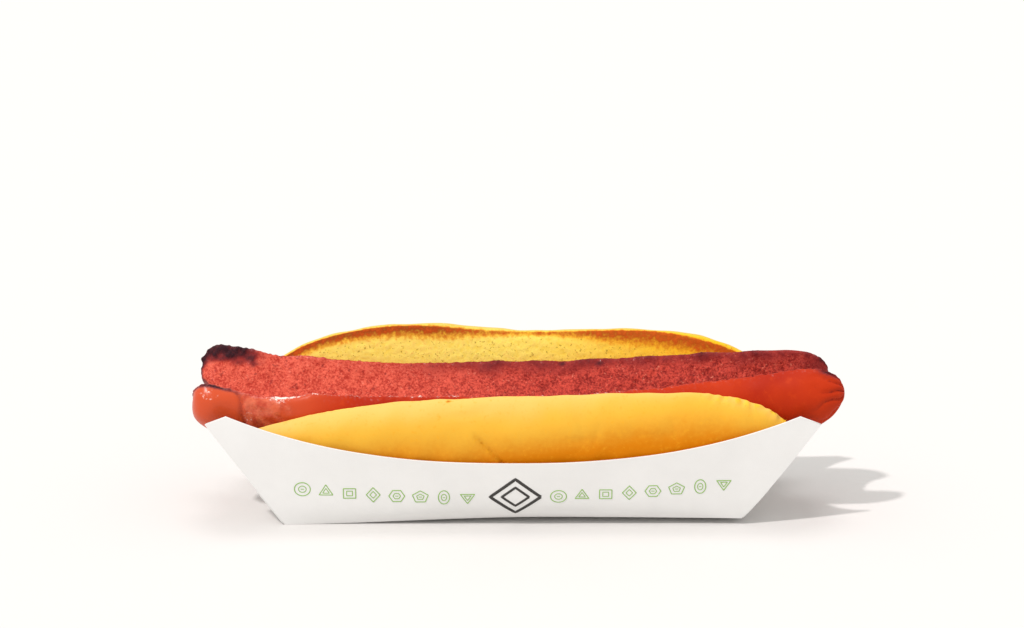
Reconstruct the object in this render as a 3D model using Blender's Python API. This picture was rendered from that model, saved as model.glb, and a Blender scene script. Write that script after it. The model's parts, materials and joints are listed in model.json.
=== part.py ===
"""Griddled split hot dog in a folded paperboard boat tray.

Frame: origin on the table under the middle of the tray, +X along the roll,
+Y across it, +Z up, metres. The roll opens upwards in a V, and the sausage,
split along its length and opened like a book, lies in that V with its skin
down and its cut faces up. Three loose pieces: tray, bun and frankfurter.
"""
import math

import bpy
import bmesh
import numpy as np

MM = 0.001
GAP = 0.4 * MM                     # clearance between pieces that touch

# ---- tray: one folded sheet of paperboard ------------------------------
BOARD = 0.45 * MM                  # thickness of the paperboard
TRAY_BOTTOM_LENGTH = 132.2 * MM    # between the two end folds
TRAY_BOTTOM_WIDTH = 45.0 * MM      # between the two side folds
SIDE_LEAN = math.radians(14.0)     # side walls from upright, middle
CORNER_LEAN = math.radians(4.0)    # side walls from upright, at the corners
END_LEAN = math.radians(35.6)      # end walls, outwards from upright
CORNER_HEIGHT = 31.0 * MM          # where a side wall meets an end wall
PEAK_HEIGHT = 33.7 * MM            # point of the side wall's upper edge
PEAK_HALF_LENGTH = 82.2 * MM       # from the middle to that point
SIDE_DIP_HEIGHT = 20.1 * MM        # lowest point of the side wall's edge
SIDE_DIP_POWER = 2.4               # how flat the dip is in its middle
END_DIP_HEIGHT = 20.3 * MM         # lowest point of the end wall's edge
END_DIP_POWER = 4                  # how flat that edge is in its middle
FOOT_ROLL = 1.8 * MM               # how far the side fold rolls in, middle
WALL_LEVELS = (0.0, 0.035, 0.09, 0.2, 0.5, 1.0)
SIDE_STEPS = 24
END_STEPS = 10

# ---- frankfurter: split lengthwise, hinged on its skin -----------------
FRANK_RADIUS = 11.0 * MM
HINGE_LEFT_UNCUT = 2.5 * MM        # depth of meat the knife leaves
FRANK_LEFT = -93.0 * MM
FRANK_RIGHT = 95.8 * MM
LEFT_CROTCH = 8.0 * MM             # the hinge stops this short of a tip
RIGHT_CROTCH = 6.0 * MM
BACK_LEFT_SHORTER = 0.8 * MM       # the back half stops this short of the front
BACK_RIGHT_SHORTER = 3.4 * MM
FRANK_HINGE_HEIGHT = 24.5 * MM     # bottom of the cut, middle of the length
FRANK_HINGE_Y = -0.8 * MM
LEFT_TIP_RISE = 6.0 * MM           # how far the left tip curls up
RIGHT_TIP_RISE = 2.2 * MM
LEFT_CURL_FROM = -30.0 * MM        # x where each end begins to curl up
RIGHT_CURL_FROM = 15.0 * MM
FRONT_APART = np.array([-5.5, 1.6]) * MM  # front half off the back, right tip
FRONT_OPENING = math.radians(50.0) # front half, leaned from upright
BACK_OPENING = math.radians(38.0)  # back half, leaned from upright
FRONT_CLOSED = math.radians(20.0)  # the same at the right tip
BACK_CLOSED = math.radians(4.0)
CLOSING_FROM = 5.0 * MM            # x where the halves begin to close
CLOSING_POWER = 1.6
FRONT_SPREAD = (math.radians(9.0), -73.0 * MM, 11.0 * MM)
BACK_SPREAD = (math.radians(5.0), -32.0 * MM, 24.0 * MM)
LEFT_TIP_LENGTH = 9.0 * MM         # length of the rounding of each tip
RIGHT_TIP_LENGTH = 14.0 * MM
RIGHT_TIP_LIFT = 2.6 * MM          # the right tips turn up by this much
FRANK_STATIONS = 36
CUT_STEPS = 7
SKIN_STEPS = 9

# ---- bun: soft roll, cut along its top, hinged along its base ----------
BUN_CENTRE_X = 2.5 * MM
BUN_HALF_LENGTH = 76.0 * MM
BUN_HALF_WIDTH = 26.2 * MM
BUN_TAPER = 0.08                   # share of its width lost at the ends
BUN_BASE = BOARD + GAP
BUN_WIDEST = 24.0 * MM             # height of the widest place
BUN_POWER = 2.6                    # squareness of the outer outline
FRONT_LIP_Y = -20.2 * MM
FRONT_LIP_HEIGHT = 38.7 * MM
BACK_LIP_Y = 22.8 * MM
BACK_LIP_HEIGHT = 46.1 * MM
LIP_THICKNESS = 5.0 * MM
BUN_END_POWER = 5.0                # bluntness of the rounded ends
BUN_BASE_SHORTER = 24.0 * MM       # the base stops this short of the ends
BUN_END_HEIGHT = 22.0 * MM         # height of the furthest place of an end
BUN_STATIONS = 30
BUN_OUTER_STEPS = 24
BUN_INNER_STEPS = 24


def clear_scene():
    """Remove what the start-up file holds."""
    for thing in list(bpy.data.objects):
        bpy.data.objects.remove(thing, do_unlink=True)


def make_material(name, colour, roughness):
    """A plain Principled material."""
    material = bpy.data.materials.new(name)
    material.use_nodes = True
    shader = material.node_tree.nodes["Principled BSDF"]
    shader.inputs["Base Color"].default_value = (*colour, 1.0)
    shader.inputs["Roughness"].default_value = roughness
    shader.inputs["Metallic"].default_value = 0.0
    material.diffuse_color = (*colour, 1.0)
    return material


def add_object(name, mesh, material):
    """Link a mesh as a named object with its own material."""
    thing = bpy.data.objects.new(name, mesh)
    bpy.context.scene.collection.objects.link(thing)
    mesh.materials.append(material)
    return thing


def swell(x, height, centre, width):
    """Bell-shaped swelling of a given height about a centre."""
    return height * math.exp(-((x - centre) / width) ** 2)


def ramp(value, start, end):
    """Smooth step from 0 at start to 1 at end."""
    t = np.clip((value - start) / (end - start), 0.0, 1.0)
    return t * t * (3.0 - 2.0 * t)


# ---- tray --------------------------------------------------------------
def side_rim_height(x):
    """Upper edge of a side wall: a dip, two points and two cut corners."""
    reach = corner_half_length()
    dip = SIDE_DIP_HEIGHT + (PEAK_HEIGHT - SIDE_DIP_HEIGHT) * (
        np.abs(x) / PEAK_HALF_LENGTH) ** SIDE_DIP_POWER
    fall = (np.abs(x) - PEAK_HALF_LENGTH) / (reach - PEAK_HALF_LENGTH)
    cut = PEAK_HEIGHT + (CORNER_HEIGHT - PEAK_HEIGHT) * fall
    return np.where(np.abs(x) <= PEAK_HALF_LENGTH, dip, cut)


def corner_half_length():
    """Half the tray's length over its four corners."""
    return TRAY_BOTTOM_LENGTH / 2 + CORNER_HEIGHT * math.tan(END_LEAN)


def side_wall_columns():
    """Columns of points from fold to rim, left to right, for the front."""
    reach = corner_half_length()
    between = np.linspace(-PEAK_HALF_LENGTH, PEAK_HALF_LENGTH, SIDE_STEPS + 1)
    top_x = np.concatenate([[-reach], between])
    level = np.array(WALL_LEVELS)
    bottom_x = top_x / reach * TRAY_BOTTOM_LENGTH / 2
    z = side_rim_height(top_x)[:, None] * level[None, :]
    x = bottom_x[:, None] + (top_x - bottom_x)[:, None] * level[None, :]
    roll = FOOT_ROLL * (1.0 - (2 * bottom_x / TRAY_BOTTOM_LENGTH) ** 2)
    rolled = roll[:, None] * np.exp(-z / FOOT_ROLL)
    lean = SIDE_LEAN + (CORNER_LEAN - SIDE_LEAN) * (x / reach) ** 2
    y = -(TRAY_BOTTOM_WIDTH / 2 + z * np.tan(lean) - rolled)
    return np.stack([x, y, z], axis=-1)


def end_wall_columns():
    """Columns of points from fold to rim, front to back, for the right."""
    across = np.linspace(-1.0, 1.0, END_STEPS + 1)[:-1]
    level = np.array(WALL_LEVELS)
    rim = END_DIP_HEIGHT + (CORNER_HEIGHT - END_DIP_HEIGHT) * across ** END_DIP_POWER
    z = rim[:, None] * level[None, :]
    x = TRAY_BOTTOM_LENGTH / 2 + z * math.tan(END_LEAN)
    corner_z = CORNER_HEIGHT * level[None, :]
    corner_x = TRAY_BOTTOM_LENGTH / 2 + corner_z * math.tan(END_LEAN)
    lean = SIDE_LEAN + (CORNER_LEAN - SIDE_LEAN) * (corner_x / corner_half_length()) ** 2
    half = TRAY_BOTTOM_WIDTH / 2 + corner_z * np.tan(lean)
    return np.stack([x, across[:, None] * half, z], axis=-1)


def build_tray():
    """Fold the sheet: bottom panel, two side walls and two end walls."""
    front = side_wall_columns()
    right = end_wall_columns()
    turn = np.array([-1.0, -1.0, 1.0])
    columns = np.concatenate([front, right, front * turn, right * turn])
    count, levels = columns.shape[:2]
    faces = []
    for i in range(count):
        j = (i + 1) % count
        for k in range(levels - 1):
            a = i * levels + k
            b = j * levels + k
            faces.append((a, b, b + 1, a + 1))
    faces.append(tuple(i * levels for i in reversed(range(count))))
    mesh = bpy.data.meshes.new("tray")
    mesh.from_pydata(columns.reshape(-1, 3).tolist(), [], faces)
    mesh.update()
    tray = add_object("tray", mesh, make_material("tray_board", (0.86, 0.86, 0.82), 0.6))
    skin = tray.modifiers.new("board", "SOLIDIFY")
    skin.thickness = BOARD
    skin.offset = -1.0
    skin.use_even_offset = True
    return tray


# ---- frankfurter -------------------------------------------------------
def frank_pose(x):
    """Hinge point and lean of the front, then of the back half, at x."""
    left = max(0.0, (LEFT_CURL_FROM - x) / (LEFT_CURL_FROM - FRANK_LEFT))
    right = max(0.0, (x - RIGHT_CURL_FROM) / (FRANK_RIGHT - RIGHT_CURL_FROM))
    hinge_z = FRANK_HINGE_HEIGHT + LEFT_TIP_RISE * left ** 2 + RIGHT_TIP_RISE * right ** 1.5
    back_hinge = np.array([FRANK_HINGE_Y, hinge_z])
    front_hinge = back_hinge + FRONT_APART * right ** 3
    closing = min(1.0, max(0.0, x - CLOSING_FROM) / (FRANK_RIGHT - CLOSING_FROM))
    closing = closing ** CLOSING_POWER
    front = FRONT_OPENING + (FRONT_CLOSED - FRONT_OPENING) * closing + swell(x, *FRONT_SPREAD)
    back = BACK_OPENING + (BACK_CLOSED - BACK_OPENING) * closing + swell(x, *BACK_SPREAD)
    return front_hinge, front, back_hinge, back


def half_frank(hinge, lean, side):
    """One half at one place: cut face from hinge to rim, skin from rim down.

    The half is a circle of FRANK_RADIUS whose cut passes through its middle,
    leaned outwards by lean; side is -1 for the front half, +1 for the back.
    """
    along = np.array([side * math.sin(lean), math.cos(lean)])
    outward = np.array([side * math.cos(lean), -math.sin(lean)])
    to_middle = FRANK_RADIUS - HINGE_LEFT_UNCUT
    middle = hinge + along * to_middle
    far = np.linspace(0.0, 1.0, CUT_STEPS)[:, None] * (to_middle + FRANK_RADIUS)
    cut = hinge + far * along
    angle = np.linspace(0.0, math.pi - lean, SKIN_STEPS)[:, None]
    skin = middle + FRANK_RADIUS * (np.cos(angle) * along + np.sin(angle) * outward)
    return cut, skin, middle + outward * 0.42 * FRANK_RADIUS


def frank_ring(s):
    """Closed outline at s, from -1 at the left tip to +1 at the right tip."""
    x = 0.5 * (FRANK_LEFT + FRANK_RIGHT) + 0.5 * (FRANK_RIGHT - FRANK_LEFT) * s
    front_hinge, front_lean, back_hinge, back_lean = frank_pose(x)
    cut_f, skin_f, heart_f = half_frank(front_hinge, front_lean, -1)
    cut_b, skin_b, heart_b = half_frank(back_hinge, back_lean, 1)
    top = resample(np.concatenate([cut_f[::-1], cut_b]), 2 * CUT_STEPS - 1)
    under = resample(np.concatenate([skin_f, skin_b[::-1]]), len(top))
    inside = 0.5 * (top + under)
    half = CUT_STEPS - 1
    place = np.arange(len(top)) - half
    heart = np.where(place[:, None] < 0, heart_f, heart_b)
    heart = heart + np.array([0.0, RIGHT_TIP_LIFT if s > 0.0 else 0.0])
    from_hinge = np.abs(place) / half
    of_tip = ramp(from_hinge, 0.0, 0.5)
    to_tip = min((x - FRANK_LEFT) / LEFT_TIP_LENGTH, (FRANK_RIGHT - x) / RIGHT_TIP_LENGTH)
    round_off = math.sqrt(max(0.0, 1.0 - max(0.0, 1.0 - to_tip) ** 2))
    drawn = heart + (inside - heart) * round_off
    spine = inside + (drawn - inside) * of_tip[:, None]
    top = spine + (top - inside) * round_off
    under = spine + (under - inside) * round_off
    crotch = LEFT_CROTCH if s < 0.0 else RIGHT_CROTCH
    shorter = BACK_LEFT_SHORTER if s < 0.0 else BACK_RIGHT_SHORTER
    ring_x = x - s * (crotch * (1.0 - of_tip) + shorter * of_tip * (place > 0))
    ring = np.concatenate([top, under[::-1]])
    return np.column_stack([np.concatenate([ring_x, ring_x[::-1]]), ring])


def resample(points, count):
    """The same open line with count points, evenly spaced along it."""
    steps = np.linalg.norm(np.diff(points, axis=0), axis=1)
    run = np.concatenate([[0.0], np.cumsum(steps)])
    wanted = np.linspace(0.0, run[-1], count)
    return np.column_stack([np.interp(wanted, run, points[:, k])
                            for k in range(points.shape[1])])


def loft(name, rings, material):
    """Skin a stack of closed outlines whose end outlines are pinched shut."""
    count, size = rings.shape[:2]
    faces = []
    for i in range(count - 1):
        for j in range(size):
            k = (j + 1) % size
            faces.append((i * size + j, (i + 1) * size + j,
                          (i + 1) * size + k, i * size + k))
    mesh = bpy.data.meshes.new(name)
    mesh.from_pydata(rings.reshape(-1, 3).tolist(), [], faces)
    shape = bmesh.new()
    shape.from_mesh(mesh)
    bmesh.ops.remove_doubles(shape, verts=shape.verts, dist=0.00001)
    shape.to_mesh(mesh)
    shape.free()
    mesh.shade_smooth()
    mesh.set_sharp_from_angle(angle=math.radians(40.0))
    return add_object(name, mesh, material)


def build_frankfurter():
    """Carry the opened outline along the gently sagging length."""
    stations = np.sin(np.linspace(-math.pi / 2, math.pi / 2, FRANK_STATIONS))
    rings = np.array([frank_ring(s) for s in stations])
    material = make_material("frankfurter_meat", (0.52, 0.07, 0.035), 0.45)
    return loft("frankfurter", rings, material)


# ---- bun ---------------------------------------------------------------
def bun_lips(s):
    """Heights of the front and back lips along the roll."""
    left = np.clip(-s, 0.0, 1.0)
    right = np.clip(s, 0.0, 1.0)
    front = FRONT_LIP_HEIGHT + MM * (2.2 * s - 7.9 * left ** 3.5 - 9.6 * right ** 7)
    back = BACK_LIP_HEIGHT + MM * (swell(s, 2.2, -0.45, 0.27)
                                   - 12.5 * left ** 6.5 - 15.3 * right ** 5.5)
    return front, back


def outer_arm(lip_y, lip_z, half_width):
    """Outside of one half in section, from the lip's outside to the base."""
    side = math.copysign(1.0, lip_y)
    start_y = abs(lip_y) + 0.35 * LIP_THICKNESS
    start_z = lip_z - 0.35 * LIP_THICKNESS
    share = (start_y / half_width) ** BUN_POWER
    rise = (start_z - BUN_WIDEST) / (1.0 - share) ** (1.0 / BUN_POWER)
    first = math.asin(min(1.0, share ** 0.5))
    angle = np.linspace(first, math.pi, 26)
    sine = np.abs(np.sin(angle)) ** (2.0 / BUN_POWER)
    cosine = np.sign(np.cos(angle)) * np.abs(np.cos(angle)) ** (2.0 / BUN_POWER)
    height = np.where(cosine > 0.0, rise, BUN_WIDEST - BUN_BASE)
    y = side * half_width * sine
    return np.column_stack([y, BUN_WIDEST + height * cosine])


def inner_arm(lip_y, lip_z, middle):
    """Cut face of one half, from the lip down to the sausage and under it."""
    side = math.copysign(1.0, lip_y)
    radius = FRANK_RADIUS + GAP
    start = np.array([lip_y - side * 0.5 * LIP_THICKNESS, lip_z - 0.45 * LIP_THICKNESS])
    apart = start - middle
    distance = max(np.linalg.norm(apart), radius * 1.001)
    touch = math.atan2(apart[1], apart[0] * side) - math.acos(radius / distance)
    angle = np.linspace(touch, -math.pi / 2, 12)
    arc = middle + radius * np.column_stack([side * np.cos(angle), np.sin(angle)])
    return np.concatenate([start[None, :], arc])


def bun_ring(s):
    """Closed outline at s, from -1 at the left end to +1 at the right end."""
    front_z, back_z = bun_lips(s)
    x = BUN_CENTRE_X + BUN_HALF_LENGTH * s
    front_hinge, front_lean, back_hinge, back_lean = frank_pose(x)
    to_middle = FRANK_RADIUS - HINGE_LEFT_UNCUT
    middle_f = front_hinge + to_middle * np.array([-math.sin(front_lean), math.cos(front_lean)])
    middle_b = back_hinge + to_middle * np.array([math.sin(back_lean), math.cos(back_lean)])
    taper = 1.0 - BUN_TAPER * s * s
    half_width = BUN_HALF_WIDTH * taper
    lip_f = np.array([FRONT_LIP_Y, front_z])
    lip_b = np.array([BACK_LIP_Y * taper, back_z])
    outer = np.concatenate([lip_f[None, :], outer_arm(*lip_f, half_width),
                            outer_arm(*lip_b, half_width)[::-1], lip_b[None, :]])
    inner = np.concatenate([lip_f[None, :], inner_arm(*lip_f, middle_f),
                            inner_arm(*lip_b, middle_b)[::-1], lip_b[None, :]])
    outer = resample(outer, BUN_OUTER_STEPS)
    inner = resample(inner, BUN_INNER_STEPS)
    inside = 0.5 * (outer + inner)
    round_off = (1.0 - abs(s) ** BUN_END_POWER) ** (1.0 / BUN_END_POWER)
    outer = inside + (outer - inside) * round_off
    inner = inside + (inner - inside) * round_off
    ring = np.concatenate([inner, outer[-2:0:-1]])
    low = np.clip(1.0 - ring[:, 1] / BUN_END_HEIGHT, 0.0, None)
    return np.column_stack([x - s * BUN_BASE_SHORTER * low ** 1.1, ring])


def build_bun():
    """Carry the V-shaped outline along the roll to two rounded ends."""
    stations = np.sin(np.linspace(-math.pi / 2, math.pi / 2, BUN_STATIONS))
    rings = np.array([bun_ring(s) for s in stations])
    return loft("bun", rings, make_material("bun_crust", (0.80, 0.42, 0.08), 0.55))


clear_scene()
build_tray()
build_bun()
build_frankfurter()
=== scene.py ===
"""Griddled hot dog in a folded paperboard boat tray, built piece by piece."""
import json
import math

import bmesh
import bpy
import numpy as np
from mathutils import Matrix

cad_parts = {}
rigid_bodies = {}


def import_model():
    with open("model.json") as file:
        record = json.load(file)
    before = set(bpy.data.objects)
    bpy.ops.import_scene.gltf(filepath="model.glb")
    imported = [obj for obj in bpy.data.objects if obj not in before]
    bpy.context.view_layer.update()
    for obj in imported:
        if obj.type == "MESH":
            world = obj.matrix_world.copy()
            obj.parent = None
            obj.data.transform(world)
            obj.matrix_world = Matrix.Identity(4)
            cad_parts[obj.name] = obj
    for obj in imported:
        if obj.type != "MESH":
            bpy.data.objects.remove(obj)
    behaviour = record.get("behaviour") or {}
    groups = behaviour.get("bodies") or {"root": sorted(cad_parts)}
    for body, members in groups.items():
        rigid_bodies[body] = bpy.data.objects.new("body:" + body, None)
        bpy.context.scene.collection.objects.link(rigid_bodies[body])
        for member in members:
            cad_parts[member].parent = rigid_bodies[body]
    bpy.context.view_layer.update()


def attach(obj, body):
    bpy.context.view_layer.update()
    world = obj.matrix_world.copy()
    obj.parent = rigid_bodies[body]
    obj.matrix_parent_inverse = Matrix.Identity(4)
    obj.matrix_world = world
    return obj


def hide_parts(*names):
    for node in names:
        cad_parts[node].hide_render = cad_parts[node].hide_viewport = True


for thing in list(bpy.data.objects):
    bpy.data.objects.remove(thing)
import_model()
MM = 0.001

# ---- tray ---------------------------------------------------------------
# The carrier: one sheet of smooth white food board, 0.45 mm thick, die cut
# and creased. Two side walls bow outwards in their middle, two end walls
# slope, and the creases of the long sides lift a little off the table.
BOARD = 0.45 * MM
TRAY_HALF_LENGTH = 66.1 * MM
TRAY_HALF_WIDTH = 22.5 * MM
END_LEAN = math.radians(35.6)
SIDE_LEAN = math.radians(14.0)
CORNER_LEAN = math.radians(4.0)
CORNER_HEIGHT = 31.0 * MM
PEAK_HEIGHT = 33.7 * MM
PEAK_X = 82.2 * MM
DIP_HEIGHT = 20.1 * MM
END_DIP_HEIGHT = 20.3 * MM
FOOT_ROLL = 3.2 * MM
FOOT_BOW = 1.8 * MM
FOOT_BOW_FADE = 9 * MM
FOOT_LIFT = 1.9 * MM
FOOT_LIFT_FADE = 7 * MM
WAVE = 0.10 * MM
WAVE_LENGTH = 26 * MM
CORNER_X = TRAY_HALF_LENGTH + CORNER_HEIGHT * math.tan(END_LEAN)


def ramp(value, start, end):
    """Smooth step: 0 at start, 1 at end, level at both."""
    t = np.clip((value - start) / (end - start), 0.0, 1.0)
    return t * t * (3.0 - 2.0 * t)


def swell(value, height, centre, width):
    """Bell: height times exp of minus the squared distance over width."""
    return height * np.exp(-((value - centre) / width) ** 2)


def ripple(points, wavelength, seed, waves=18):
    """Sum of plane waves in random directions, near one wavelength, about -1 to 1."""
    rng = np.random.default_rng(seed)
    turn = rng.normal(size=(waves, 3))
    turn /= np.linalg.norm(turn, axis=1, keepdims=True)
    pitch = 2 * math.pi / (wavelength * rng.uniform(0.7, 1.4, waves))
    phase = rng.uniform(0.0, 2 * math.pi, waves)
    return np.sin(points @ (turn * pitch[:, None]).T + phase).sum(-1) / math.sqrt(waves)


def grid_faces(rows, columns, wrap):
    """Corner numbers of each cell of a grid, row after row; wrap joins the last column to the first."""
    i, j = np.meshgrid(np.arange(rows - 1), np.arange(columns - (0 if wrap else 1)), indexing="ij")
    k = (j + 1) % columns
    cells = [i * columns + j, (i + 1) * columns + j, (i + 1) * columns + k, i * columns + k]
    return np.stack(cells, axis=-1).reshape(-1, 4)


def surface(name, grids, wrap=False, marks=None, weld=2e-6, sharp=None):
    """One mesh from point grids of shape (rows, columns, 3), welded where they meet."""
    places, corners, start = [], [], 0
    for grid in grids:
        places.append(grid.reshape(-1, 3))
        corners.append(grid_faces(grid.shape[0], grid.shape[1], wrap) + start)
        start += grid.shape[0] * grid.shape[1]
    mesh = bpy.data.meshes.new(name)
    mesh.from_pydata(np.concatenate(places).tolist(), [], np.concatenate(corners).tolist())
    for key, value in (marks or {}).items():
        layer = mesh.attributes.new(key, "FLOAT", "POINT")
        layer.data.foreach_set("value", np.ascontiguousarray(value, np.float32).ravel())
    shape = bmesh.new()
    shape.from_mesh(mesh)
    bmesh.ops.remove_doubles(shape, verts=shape.verts, dist=weld)
    bmesh.ops.dissolve_degenerate(shape, edges=shape.edges, dist=weld)
    shape.to_mesh(mesh)
    shape.free()
    mesh.shade_smooth()
    if sharp:
        mesh.set_sharp_from_angle(angle=math.radians(sharp))
    made = bpy.data.objects.new(name, mesh)
    bpy.context.scene.collection.objects.link(made)
    return made


def node(tree, kind, values=None, **settings):
    """Add one shader node; values fills its sockets with numbers or links."""
    made = tree.nodes.new(kind)
    for key, value in settings.items():
        setattr(made, key, value)
    for key, value in (values or {}).items():
        socket = made.inputs[key]
        if isinstance(value, bpy.types.NodeSocket):
            tree.links.new(value, socket)
        else:
            socket.default_value = value
    return made


def maths(tree, operation, *values):
    """Output of one arithmetic node."""
    return node(tree, "ShaderNodeMath", dict(enumerate(values)), operation=operation).outputs[0]


def between(tree, value, low, high, first=0.0, last=1.0):
    """Smooth change from first at low to last at high."""
    made = node(tree, "ShaderNodeMapRange", {0: value, 1: low, 2: high, 3: first, 4: last},
                interpolation_type="SMOOTHSTEP")
    return made.outputs[0]


def blend(tree, factor, first, second):
    """Colour going from first to second as factor goes from 0 to 1."""
    made = node(tree, "ShaderNodeMix", {0: factor, 6: first, 7: second}, data_type="RGBA")
    return made.outputs[2]


def grain(tree, vector, size, detail=2.0, rough=0.5, seed=0.0):
    """Noise of about 0 to 1 whose blotches are size metres across."""
    made = node(tree, "ShaderNodeTexNoise",
                {"Vector": vector, "W": seed, "Scale": 1.0 / size, "Detail": detail, "Roughness": rough},
                noise_dimensions="4D")
    return made.outputs[0]


def effect(name, inputs, outputs):
    """Empty node group with named inputs and outputs; gives tree, input and output node."""
    tree = bpy.data.node_groups.new(name, "ShaderNodeTree")
    for key, kind in inputs.items():
        tree.interface.new_socket(name=key, in_out="INPUT", socket_type="NodeSocket" + kind)
    for key, kind in outputs.items():
        tree.interface.new_socket(name=key, in_out="OUTPUT", socket_type="NodeSocket" + kind)
    return tree, tree.nodes.new("NodeGroupInput"), tree.nodes.new("NodeGroupOutput")


def material(name, tree_effect=None, inputs=None, bump=0.0, **constants):
    """Principled material; an effect group drives colour, roughness, coat and bump height."""
    made = bpy.data.materials.new(name)
    made.use_nodes = True
    tree = made.node_tree
    shader = tree.nodes["Principled BSDF"]
    for key, value in constants.items():
        shader.inputs[key.replace("_", " ")].default_value = value
    if tree_effect:
        place = node(tree, "ShaderNodeTexCoord").outputs["Object"]
        group = node(tree, "ShaderNodeGroup", node_tree=tree_effect)
        tree.links.new(place, group.inputs["Place"])
        for key in inputs or []:
            mark = node(tree, "ShaderNodeAttribute", attribute_name=key)
            tree.links.new(mark.outputs["Fac"], group.inputs[key.capitalize()])
        tree.links.new(group.outputs["Colour"], shader.inputs["Base Color"])
        tree.links.new(group.outputs["Roughness"], shader.inputs["Roughness"])
        if "Coat" in group.outputs:
            tree.links.new(group.outputs["Coat"], shader.inputs["Coat Weight"])
        if bump:
            relief = node(tree, "ShaderNodeBump", {"Height": group.outputs["Height"], "Distance": bump})
            tree.links.new(relief.outputs[0], shader.inputs["Normal"])
    return made


def side_rim(x):
    """Height of a side wall's edge: a flat-bottomed dip, two points, two cut corners."""
    dip = DIP_HEIGHT + (PEAK_HEIGHT - DIP_HEIGHT) * (np.abs(x) / PEAK_X) ** 2.4
    fall = (np.abs(x) - PEAK_X) / (CORNER_X - PEAK_X)
    return np.where(np.abs(x) <= PEAK_X, dip, PEAK_HEIGHT + (CORNER_HEIGHT - PEAK_HEIGHT) * fall)


def wall_depth(x, z):
    """Distance of a side wall from the middle plane: leaning, bowed, rolled in at the foot."""
    lean = SIDE_LEAN + (CORNER_LEAN - SIDE_LEAN) * (x / CORNER_X) ** 2
    middle = np.clip(1.0 - (x / TRAY_HALF_LENGTH) ** 2, 0.0, 1.0)
    foot = FOOT_BOW * np.exp(-z / FOOT_BOW_FADE) - FOOT_ROLL * np.exp(-z / FOOT_ROLL)
    return TRAY_HALF_WIDTH + z * np.tan(lean) + middle * foot


def foot_lift(x, z):
    """How far the front wall is raised: 0 at its left corner, most right of the middle, fading upwards."""
    return FOOT_LIFT * ramp(x, -TRAY_HALF_LENGTH, 12 * MM) * np.exp(-z / FOOT_LIFT_FADE)


def on_front_wall(x, z, foot_x):
    """Points of the front wall at x and height z, wavy but for its foot and its two ends, foot raised."""
    y = -wall_depth(x, z)
    wavy = ramp(z, 0.0, 6 * MM) * ramp(np.abs(foot_x), TRAY_HALF_LENGTH, 0.7 * TRAY_HALF_LENGTH)
    y -= WAVE * ripple(np.stack([x, y, z], -1), WAVE_LENGTH, 3) * wavy
    return np.stack([x, y, z + foot_lift(foot_x, z)], -1)


def wall_levels(count):
    """Shares of a wall's height from 0 to 1, closer together at the foot and at the cut edge."""
    return np.append(np.linspace(0.0, 0.998, count - 1) ** 1.8, 1.0)[None, :]


def tray_side(columns, levels):
    """Front wall as columns from fold to edge, from the left corner to the right."""
    spread = np.linspace(-1.0, 1.0, columns - 2)
    top_x = np.concatenate([[-CORNER_X], PEAK_X * spread, [CORNER_X]])[:, None]
    level = wall_levels(levels)
    foot_x = top_x / CORNER_X * TRAY_HALF_LENGTH
    x = foot_x + (top_x - foot_x) * level
    return on_front_wall(x, side_rim(top_x) * level, foot_x)


def tray_end(columns, levels):
    """Right wall as columns from fold to edge, front to back; its edge dips as a fourth power."""
    across = np.linspace(-1.0, 1.0, columns)[:, None]
    level = wall_levels(levels)
    z = (END_DIP_HEIGHT + (CORNER_HEIGHT - END_DIP_HEIGHT) * across ** 4) * level
    corner_z = CORNER_HEIGHT * level
    half = wall_depth(TRAY_HALF_LENGTH + corner_z * math.tan(END_LEAN), corner_z)
    lift = foot_lift(TRAY_HALF_LENGTH, corner_z) * np.clip(-across, 0.0, 1.0) ** 2
    return np.stack([TRAY_HALF_LENGTH + z * math.tan(END_LEAN), across * half, z + lift], -1)


turned = np.array([-1.0, -1.0, 1.0])
front_wall = tray_side(120, 26)
right_wall = tray_end(24, 26)
foot = front_wall[:, None, 0, :]
across = np.linspace(-1.0, 1.0, 24)[None, :, None]
raised = foot[..., 2:] * np.clip(-across, 0.0, 1.0) ** 2
raised = raised + foot[::-1, :, 2:] * np.clip(across, 0.0, 1.0) ** 2
panel = np.concatenate([foot[..., :1] + 0.0 * across, -foot[..., 1:2] * across, raised], -1)
tray = surface("tray", [front_wall, right_wall, front_wall * turned, right_wall * turned, panel[::-1]],
               sharp=28)
board = tray.modifiers.new("board", "SOLIDIFY")
board.thickness = BOARD
board.offset = -1.0
board.use_even_offset = True

paper, given, result = effect("coated_board", {"Place": "Vector"},
                              {"Colour": "Color", "Roughness": "Float", "Height": "Float"})
cloud = grain(paper, given.outputs["Place"], 14 * MM, 3.0, 0.6)
white = blend(paper, between(paper, cloud, 0.3, 0.7), (0.785, 0.78, 0.765, 1.0), (0.815, 0.81, 0.795, 1.0))
paper.links.new(white, result.inputs["Colour"])
paper.links.new(between(paper, cloud, 0.2, 0.8, 0.42, 0.55), result.inputs["Roughness"])
paper.links.new(grain(paper, given.outputs["Place"], 0.35 * MM, 3.0), result.inputs["Height"])
board_finish = material("board", paper, bump=0.02 * MM, IOR=1.45)
tray.data.materials.append(board_finish)
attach(tray, "root")
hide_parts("tray")

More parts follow.
